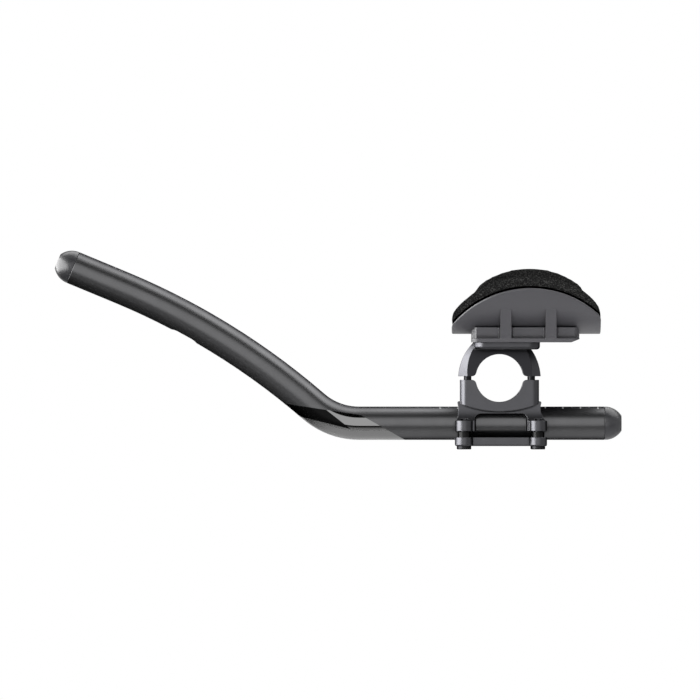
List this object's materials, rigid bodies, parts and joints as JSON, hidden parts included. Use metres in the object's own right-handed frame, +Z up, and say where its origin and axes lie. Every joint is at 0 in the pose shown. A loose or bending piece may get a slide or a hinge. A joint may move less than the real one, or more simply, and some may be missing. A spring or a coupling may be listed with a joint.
{
  "type": "aero handlebar extension",
  "caption": "Clip-on aero handlebar extension: S-bent tube held under a handlebar clamp, with a padded armrest cup on the clamp's platform.",
  "frame": {"origin": "on the handlebar's axis, in the middle of its clamp", "axes": "+X to the rider, along the straight run of the tube; +Y along the handlebar; +Z up"},
  "size_m": [0.3778, 0.0996, 0.1325],
  "materials": {
    "tube": "satin black anodised",
    "plug": "satin black",
    "clamp": "satin grey-black",
    "bolt": "black oxide",
    "cup": "fine moulded grain",
    "strip": "hook tape",
    "pad": "heathered black fleece"
  },
  "bodies": {
    "clamp": {"bar_clamp_base": "clamp", "bar_clamp_top": "clamp", "extension_clamp_cap": "clamp", "bar_clamp_bolts": "bolt", "extension_clamp_bolts": "bolt", "armrest_cup": "cup", "armrest_bolts": "bolt", "armrest_washers": "bolt", "hook_strips": "strip", "armrest_pad": "pad"},
    "extension": {"extension_tube": "tube", "front_end_plug": "plug", "rear_end_plug": "plug"}
  },
  "joints": [
    {"name": "extension_reach", "type": "slide", "parent": "clamp", "child": "extension", "axis": [1, 0, 0], "range_m": [-0.035, 0.06]}
  ]
}
